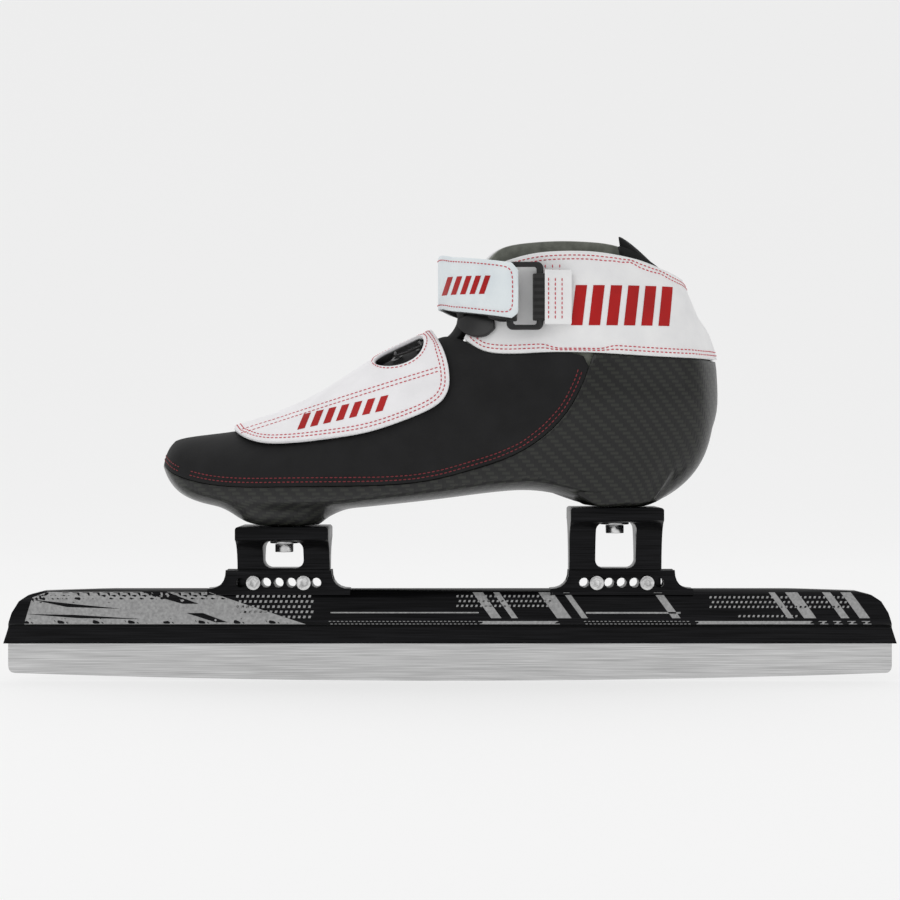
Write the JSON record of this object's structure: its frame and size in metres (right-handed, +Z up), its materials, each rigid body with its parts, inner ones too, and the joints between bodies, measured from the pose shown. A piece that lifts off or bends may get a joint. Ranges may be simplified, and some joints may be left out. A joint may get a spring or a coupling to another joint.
{
  "type": "speed skate",
  "caption": "Left long-blade ice speed skate: moulded boot with vamp cover and ankle strap, on two cups, a blade tube and a thin rockered blade.",
  "frame": {"origin": "lowest point of the blade, at the middle of its length and thickness", "axes": "+X towards the heel end, +Y towards the inner side of the left foot, +Z up"},
  "size_m": [0.436, 0.0967, 0.2197],
  "materials": {
    "blade_steel": "brushed",
    "black_alloy": "anodised",
    "bolt_steel": "bright",
    "carbon": "gloss weave",
    "black_microfibre": "matt",
    "white_microfibre": "satin",
    "grey_lining": "soft",
    "black_webbing": "woven",
    "black_plastic": "satin"
  },
  "bodies": {
    "boot": {"blade": "blade_steel", "blade_tube": "black_alloy", "front_tube_plug": "black_plastic", "rear_tube_plug": "black_plastic", "front_cup": "black_alloy", "rear_cup": "black_alloy", "carbon_shell": "carbon", "upper": "black_microfibre", "ankle_collar": "white_microfibre", "inner_liner": "grey_lining", "footbed": "black_microfibre", "tongue": "black_microfibre", "achilles_pad": "black_microfibre", "lace": "black_webbing", "buckle_webbing": "black_webbing", "strap_hook_patch": "black_webbing", "instep_tab": "black_webbing", "front_cup_bolt": "bolt_steel", "front_cup_washer": "bolt_steel", "front_cross_screw_fore": "bolt_steel", "front_cross_nut_fore": "bolt_steel", "front_cross_screw_aft": "bolt_steel", "front_cross_nut_aft": "bolt_steel", "front_sole_insert": "bolt_steel", "rear_cup_bolt": "bolt_steel", "rear_cup_washer": "bolt_steel", "rear_cross_screw_fore": "bolt_steel", "rear_cross_nut_fore": "bolt_steel", "rear_cross_screw_aft": "bolt_steel", "rear_cross_nut_aft": "bolt_steel", "rear_sole_insert": "bolt_steel", "outer_eyelet_1": "black_plastic", "inner_eyelet_1": "black_plastic", "outer_eyelet_2": "black_plastic", "inner_eyelet_2": "black_plastic", "outer_eyelet_3": "black_plastic", "inner_eyelet_3": "black_plastic", "outer_eyelet_4": "black_plastic", "inner_eyelet_4": "black_plastic", "outer_eyelet_5": "black_plastic", "inner_eyelet_5": "black_plastic"},
    "cover": {"vamp_cover": "white_microfibre"},
    "buckle": {"buckle_ring": "black_plastic"},
    "strap": {"strap_face": "white_microfibre", "strap_backing": "black_webbing"}
  },
  "joints": [
    {"name": "cover_hinge", "type": "hinge", "parent": "boot", "child": "cover", "pos_m": [-0.043, 0.0425, 0.1288], "axis": [-0.9424, 0, -0.3344], "range_deg": [0, 105]},
    {"name": "buckle_pivot", "type": "hinge", "parent": "boot", "child": "buckle", "pos_m": [0.0423, -0.039, 0.185], "axis": [0, 0, 1], "range_deg": [0, 70]},
    {"name": "strap_swing", "type": "hinge", "parent": "buckle", "child": "strap", "pos_m": [0.0282, -0.039, 0.185], "axis": [0, 0, 1], "range_deg": [0, 25]}
  ]
}
